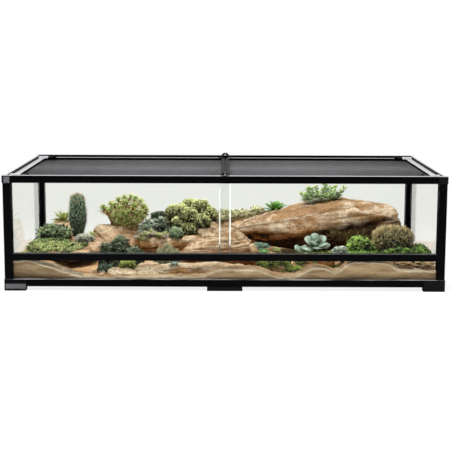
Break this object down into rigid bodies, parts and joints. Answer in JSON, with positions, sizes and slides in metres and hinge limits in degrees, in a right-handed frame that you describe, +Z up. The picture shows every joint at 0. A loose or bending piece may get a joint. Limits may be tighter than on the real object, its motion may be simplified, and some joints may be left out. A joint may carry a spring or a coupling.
{
  "type": "glass terrarium",
  "caption": "Long low glass terrarium with a black extruded frame, overlapping sliding front doors, hinged net lids with slide bolts, and a planted desert landscape of sand and rocks.",
  "frame": {"origin": "on the floor, at the middle of the footprint", "axes": "+X along the length, left to right seen from the doors; -Y is the door side; +Z up"},
  "size_m": [1.22, 0.61, 0.328],
  "materials": {
    "frame": "satin black",
    "plastic": "moulded black",
    "board": "matt black board",
    "glass": "clear",
    "net": "black wire net",
    "fitting": "satin black",
    "steel": "brushed",
    "sand": "fine desert sand",
    "rock": "layered sandstone",
    "cactus": "waxy ribs with pale spines",
    "foliage": "leaves"
  },
  "bodies": {
    "enclosure": {"back_rocks": "rock", "barrel_cactus": "cactus", "base_panel": "board", "blue_bush": "foliage", "bottom_rail_back": "frame", "bottom_rail_front": "frame", "bottom_rail_left": "frame", "bottom_rail_right": "frame", "bright_bush": "foliage", "centre_bar": "frame", "centre_feet": "plastic", "centre_slab_rock": "rock", "clipped_bush": "foliage", "column_cactus": "cactus", "corner_feet": "plastic", "corner_post_back_left": "frame", "corner_post_back_right": "frame", "corner_post_front_left": "frame", "corner_post_front_right": "frame", "cushion_shrub": "foliage", "door_sill": "frame", "door_track_lower": "plastic", "door_track_upper": "plastic", "front_rocks": "rock", "glass_back": "glass", "glass_front_lower": "glass", "glass_left": "glass", "glass_right": "glass", "glaucous_succulent": "foliage", "ground_cover": "foliage", "hinge_brackets": "fitting", "hinge_pins": "steel", "juniper": "foliage", "leafy_shrub": "foliage", "left_ledge_rock": "rock", "middle_rock": "rock", "right_boulder": "rock", "rosette_plants": "foliage", "sand_bed": "sand", "star_shrub": "foliage", "top_corners": "plastic", "top_rail_back": "frame", "top_rail_front": "frame", "top_rail_left": "frame", "top_rail_right": "frame"},
    "lid_left": {"lid_frame_left": "frame", "lid_net_left": "net", "hinge_leaves_left": "fitting", "bolt_guides_left": "fitting"},
    "lid_right": {"lid_frame_right": "frame", "lid_net_right": "net", "hinge_leaves_right": "fitting", "bolt_guides_right": "fitting"},
    "bolt_front_left": {"bolt_front_left": "fitting"},
    "bolt_back_left": {"bolt_back_left": "fitting"},
    "bolt_front_right": {"bolt_front_right": "fitting"},
    "bolt_back_right": {"bolt_back_right": "fitting"},
    "sliding_door_left": {"door_left": "glass"},
    "sliding_door_right": {"door_right": "glass"}
  },
  "joints": [
    {"name": "left_door_slide", "type": "slide", "parent": "enclosure", "child": "sliding_door_left", "axis": [1, 0, 0], "range_m": [0, 0.57]},
    {"name": "right_door_slide", "type": "slide", "parent": "enclosure", "child": "sliding_door_right", "axis": [1, 0, 0], "range_m": [-0.57, 0]},
    {"name": "left_lid_hinge", "type": "hinge", "parent": "enclosure", "child": "lid_left", "pos_m": [0, 0, 0.323], "axis": [0, 1, 0], "range_deg": [0, 90]},
    {"name": "right_lid_hinge", "type": "hinge", "parent": "enclosure", "child": "lid_right", "pos_m": [0, 0, 0.323], "axis": [0, -1, 0], "range_deg": [0, 90]},
    {"name": "left_front_bolt_slide", "type": "slide", "parent": "lid_left", "child": "bolt_front_left", "axis": [-1, 0, 0], "range_m": [0, 0.0065]},
    {"name": "left_back_bolt_slide", "type": "slide", "parent": "lid_left", "child": "bolt_back_left", "axis": [-1, 0, 0], "range_m": [0, 0.0065]},
    {"name": "right_front_bolt_slide", "type": "slide", "parent": "lid_right", "child": "bolt_front_right", "axis": [1, 0, 0], "range_m": [0, 0.0065]},
    {"name": "right_back_bolt_slide", "type": "slide", "parent": "lid_right", "child": "bolt_back_right", "axis": [1, 0, 0], "range_m": [0, 0.0065]}
  ]
}
